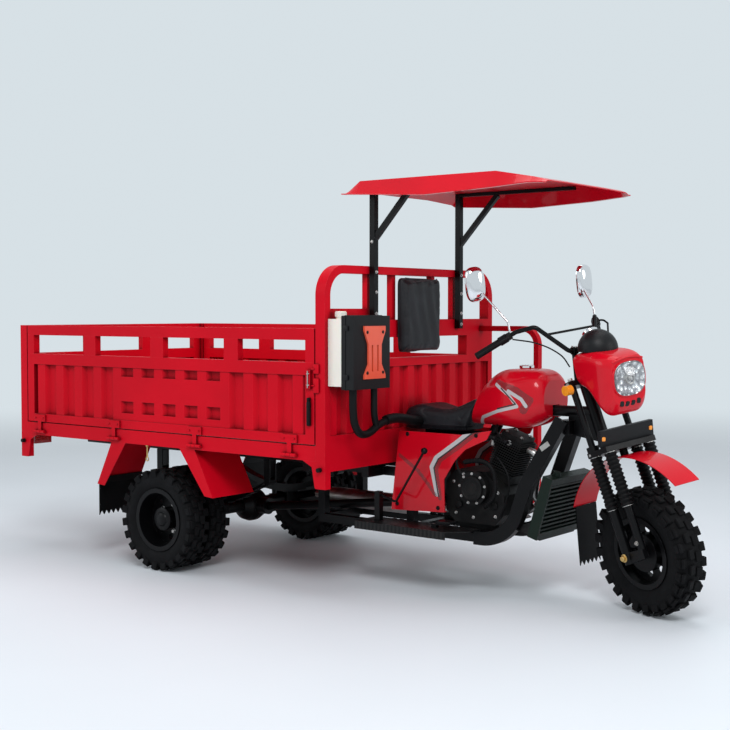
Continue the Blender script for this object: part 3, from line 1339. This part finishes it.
class TRICYCLE_OT_seat(bpy.types.Operator):
    """Padded saddle and backrest with their piping"""
    bl_idname = "tricycle.seat"
    bl_label = "Saddle and backrest"

    def execute(self, context):
        saddle = self.pad(context, "seat", "saddle_cover", 0.85, (0, 0, 1))
        self.welt(context, saddle, "saddle_welt", 2, 0.030)
        rest = self.pad(context, "backrest", "backrest_cover", 0.8, (1, 0, 0))
        self.welt(context, rest, "backrest_welt", 0, 0.012)
        return {"FINISHED"}

    def pad(self, context, node, name, fill, out):
        """A cushion from the frame's form: shrunk, remeshed, swollen as cloth and held at its base."""
        sizes = context.scene.tricycle_seat
        low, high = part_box(node)
        shape = bmesh.new()
        shape.from_mesh(frame["nodes"][node].data)
        bmesh.ops.remove_doubles(shape, verts=shape.verts, dist=1e-5)
        if node == "backrest":
            round_edges(shape, list(shape.edges), 0.020, 4)
        mesh = bpy.data.meshes.new(name + "_form")
        shape.to_mesh(mesh)
        shape.free()
        form = bpy.data.objects.new(name + "_form", mesh)
        context.scene.collection.objects.link(form)
        remesh = form.modifiers.new("Remesh", "REMESH")
        remesh.mode = "VOXEL"
        remesh.voxel_size = sizes.voxel
        smooth = form.modifiers.new("Smooth", "SMOOTH")
        smooth.iterations = 6
        smooth.factor = 0.5
        base = self.baked(context, form)
        form.modifiers.clear()
        form.data = base
        axis = Vector(out)
        for vert in base.vertices:
            depth = (vert.co - low).dot(axis)
            if depth > 0.01:
                vert.co -= vert.normal * sizes.shrink
        self.swell(context, form, low, axis)
        cover = bmesh.new()
        cover.from_mesh(form.data)
        bpy.data.objects.remove(form)
        for vert in cover.verts:
            if node == "seat":
                self.saddle_line(vert.co, low, high)
            else:
                self.wrinkle(vert.co, low, high)
        piece = add_piece(name, cover, "vehicle", "black_vinyl", angle=80.0)
        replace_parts(piece, node)
        return piece

    def saddle_line(self, place, low, high):
        """Raises the nose to the tank, dips the middle and crowns the rear."""
        rise = min(max((place.z - low.z) / (high.z - low.z), 0.0), 1.0)
        along = (place.x - low.x) / (high.x - low.x)
        nose = max(along - 0.62, 0.0) / 0.38
        dip = math.exp(-((along - 0.55) / 0.18) ** 2)
        place.z += rise * (0.030 * nose * nose * (3 - 2 * nose) - 0.008 * dip)
        place.x -= 0.022 * rise * max(0.25 - along, 0.0) / 0.25

    def wrinkle(self, place, low, high):
        """Soft upright folds across the backrest's cover."""
        across = (place.y - low.y) / (high.y - low.y)
        edge = max(1 - abs(across * 2 - 1) ** 4, 0.0)
        if place.x > (low.x + high.x) / 2:
            place.x += 0.0025 * edge * math.sin(across * 27 + 2.5 * math.sin(place.z * 9)) * math.sin(place.z * 5.5)

    def baked(self, context, obj):
        seen = obj.evaluated_get(context.evaluated_depsgraph_get())
        return bpy.data.meshes.new_from_object(seen)

    def swell(self, context, form, low, axis):
        """Blows the cover up as cloth, keeps its base and caps how far a point moves."""
        sizes = context.scene.tricycle_seat
        rest = [vert.co.copy() for vert in form.data.vertices]
        cloth = form.modifiers.new("Cloth", "CLOTH")
        cloth.settings.use_pressure = True
        cloth.settings.uniform_pressure_force = cloth_pressure
        cloth.settings.effector_weights.gravity = 0.0
        for step in range(1, cloth_steps + 1):
            context.scene.frame_set(step)
        blown = self.baked(context, form)
        form.modifiers.clear()
        context.scene.frame_set(1)
        for vert, start, end in zip(form.data.vertices, rest, blown.vertices):
            move = end.co - start
            held = min(max(((start - low).dot(axis) - 0.008) / 0.03, 0.0), 1.0)
            if move.length > sizes.swell:
                move = move.normalized() * sizes.swell
            vert.co = start + move * held

    def welt(self, context, piece, name, up_axis, level):
        """Piping round a cushion, laid on its surface at one level."""
        sizes = context.scene.tricycle_seat
        tree = skin(piece)
        corners = [Vector(c) for c in piece.bound_box]
        low = Vector([min(c[i] for c in corners) for i in range(3)])
        high = Vector([max(c[i] for c in corners) for i in range(3)])
        middle = (low + high) / 2
        middle[up_axis] = low[up_axis] + level
        flat = [i for i in range(3) if i != up_axis]
        points = []
        for across, along in round_steps(56, 1.0):
            ray = Vector((0, 0, 0))
            ray[flat[0]], ray[flat[1]] = across, along
            points.append(landing(tree, middle + ray * 0.6, -ray)[0])
        tube(name, points, sizes.welt, "vehicle", "black_vinyl", closed=True)


class TRICYCLE_PT_panel(bpy.types.Panel):
    """Lists the tricycle's pieces"""
    bl_idname = "TRICYCLE_PT_panel"
    bl_label = "Cargo tricycle"
    bl_space_type = "VIEW_3D"
    bl_region_type = "UI"
    bl_category = "Tricycle"

    def draw(self, context):
        for operator in operators:
            self.layout.operator(operator.bl_idname)


groups = (("tricycle_paint", PaintColours), ("tricycle_stage", StageSizes), ("tricycle_tyres", TyreSizes),
          ("tricycle_wheels", WheelSizes), ("tricycle_fork", ForkSizes), ("tricycle_lamp", LampSizes),
          ("tricycle_seat", SeatSizes))
operators = (TRICYCLE_OT_stage, TRICYCLE_OT_paint, TRICYCLE_OT_tyres, TRICYCLE_OT_wheels, TRICYCLE_OT_fork,
             TRICYCLE_OT_headlamp, TRICYCLE_OT_mirrors, TRICYCLE_OT_box, TRICYCLE_OT_engine, TRICYCLE_OT_trim,
             TRICYCLE_OT_seat)


def register():
    for name, group in groups:
        bpy.utils.register_class(group)
        setattr(bpy.types.Scene, name, PointerProperty(type=group))
    for operator in operators:
        bpy.utils.register_class(operator)
    bpy.utils.register_class(TRICYCLE_PT_panel)


def unregister():
    bpy.utils.unregister_class(TRICYCLE_PT_panel)
    for operator in reversed(operators):
        bpy.utils.unregister_class(operator)
    for name, group in reversed(groups):
        delattr(bpy.types.Scene, name)
        bpy.utils.unregister_class(group)


def plain(box):
    return [list(corner) for corner in box]


def main():
    register()
    bpy.ops.tricycle.stage()
    bpy.ops.tricycle.paint()
    bpy.ops.tricycle.tyres()
    bpy.ops.tricycle.wheels()
    bpy.ops.tricycle.fork()
    bpy.ops.tricycle.headlamp()
    bpy.ops.tricycle.mirrors()
    bpy.ops.tricycle.box()
    bpy.ops.tricycle.engine()
    bpy.ops.tricycle.trim()
    bpy.ops.tricycle.seat()


if __name__ == "__main__":
    main()
